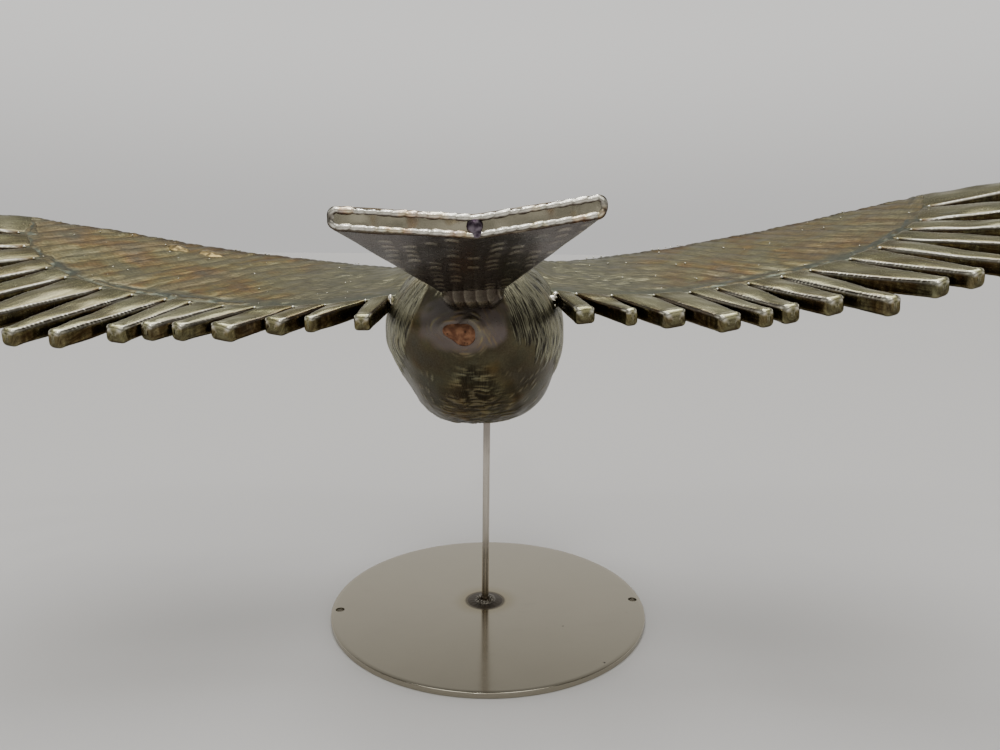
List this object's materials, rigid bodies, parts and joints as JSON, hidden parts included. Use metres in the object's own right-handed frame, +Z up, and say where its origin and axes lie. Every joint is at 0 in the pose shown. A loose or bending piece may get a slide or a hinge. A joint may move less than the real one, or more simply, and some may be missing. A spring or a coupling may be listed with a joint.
{
  "type": "dove sculpture",
  "caption": "Welded steel sculpture of a bird in flight with spread wings, held up by a thin rod on a round plate.",
  "frame": {"origin": "middle of the round plate's underside, where the sculpture stands", "axes": "+Z up, +Y the way the bird flies (its beak), +X along its right wing"},
  "size_m": [0.6933, 0.2875, 0.2553],
  "materials": {
    "plate_steel": "satin ground steel, warm grey, with heat tint around the rod",
    "rod_steel": "satin drawn rod",
    "weld_steel": "weld bead with a dark heat-tinted ring",
    "body_steel": "fine hair-like weld strokes over dark steel",
    "tail_steel": "short weld dashes in rows, bright scalloped beads on the edges",
    "wing_steel": "spanwise weld streaks with brown and violet heat tints",
    "feather_steel": "polished weld over blunt bars, bright edges, dark walls"
  },
  "bodies": {
    "root": {"base_disc": "plate_steel", "foot_weld": "weld_steel", "rod": "rod_steel", "body": "body_steel", "tail": "tail_steel", "wing_panel_left": "wing_steel", "wing_panel_right": "wing_steel", "feather_left_01": "feather_steel", "feather_left_02": "feather_steel", "feather_left_03": "feather_steel", "feather_left_04": "feather_steel", "feather_left_05": "feather_steel", "feather_left_06": "feather_steel", "feather_left_07": "feather_steel", "feather_left_08": "feather_steel", "feather_left_09": "feather_steel", "feather_left_10": "feather_steel", "feather_left_11": "feather_steel", "feather_left_12": "feather_steel", "feather_left_13": "feather_steel", "feather_left_14": "feather_steel", "feather_left_15": "feather_steel", "feather_right_01": "feather_steel", "feather_right_02": "feather_steel", "feather_right_03": "feather_steel", "feather_right_04": "feather_steel", "feather_right_05": "feather_steel", "feather_right_06": "feather_steel", "feather_right_07": "feather_steel", "feather_right_08": "feather_steel", "feather_right_09": "feather_steel", "feather_right_10": "feather_steel", "feather_right_11": "feather_steel", "feather_right_12": "feather_steel", "feather_right_13": "feather_steel", "feather_right_14": "feather_steel", "feather_right_15": "feather_steel"}
  },
  "joints": []
}
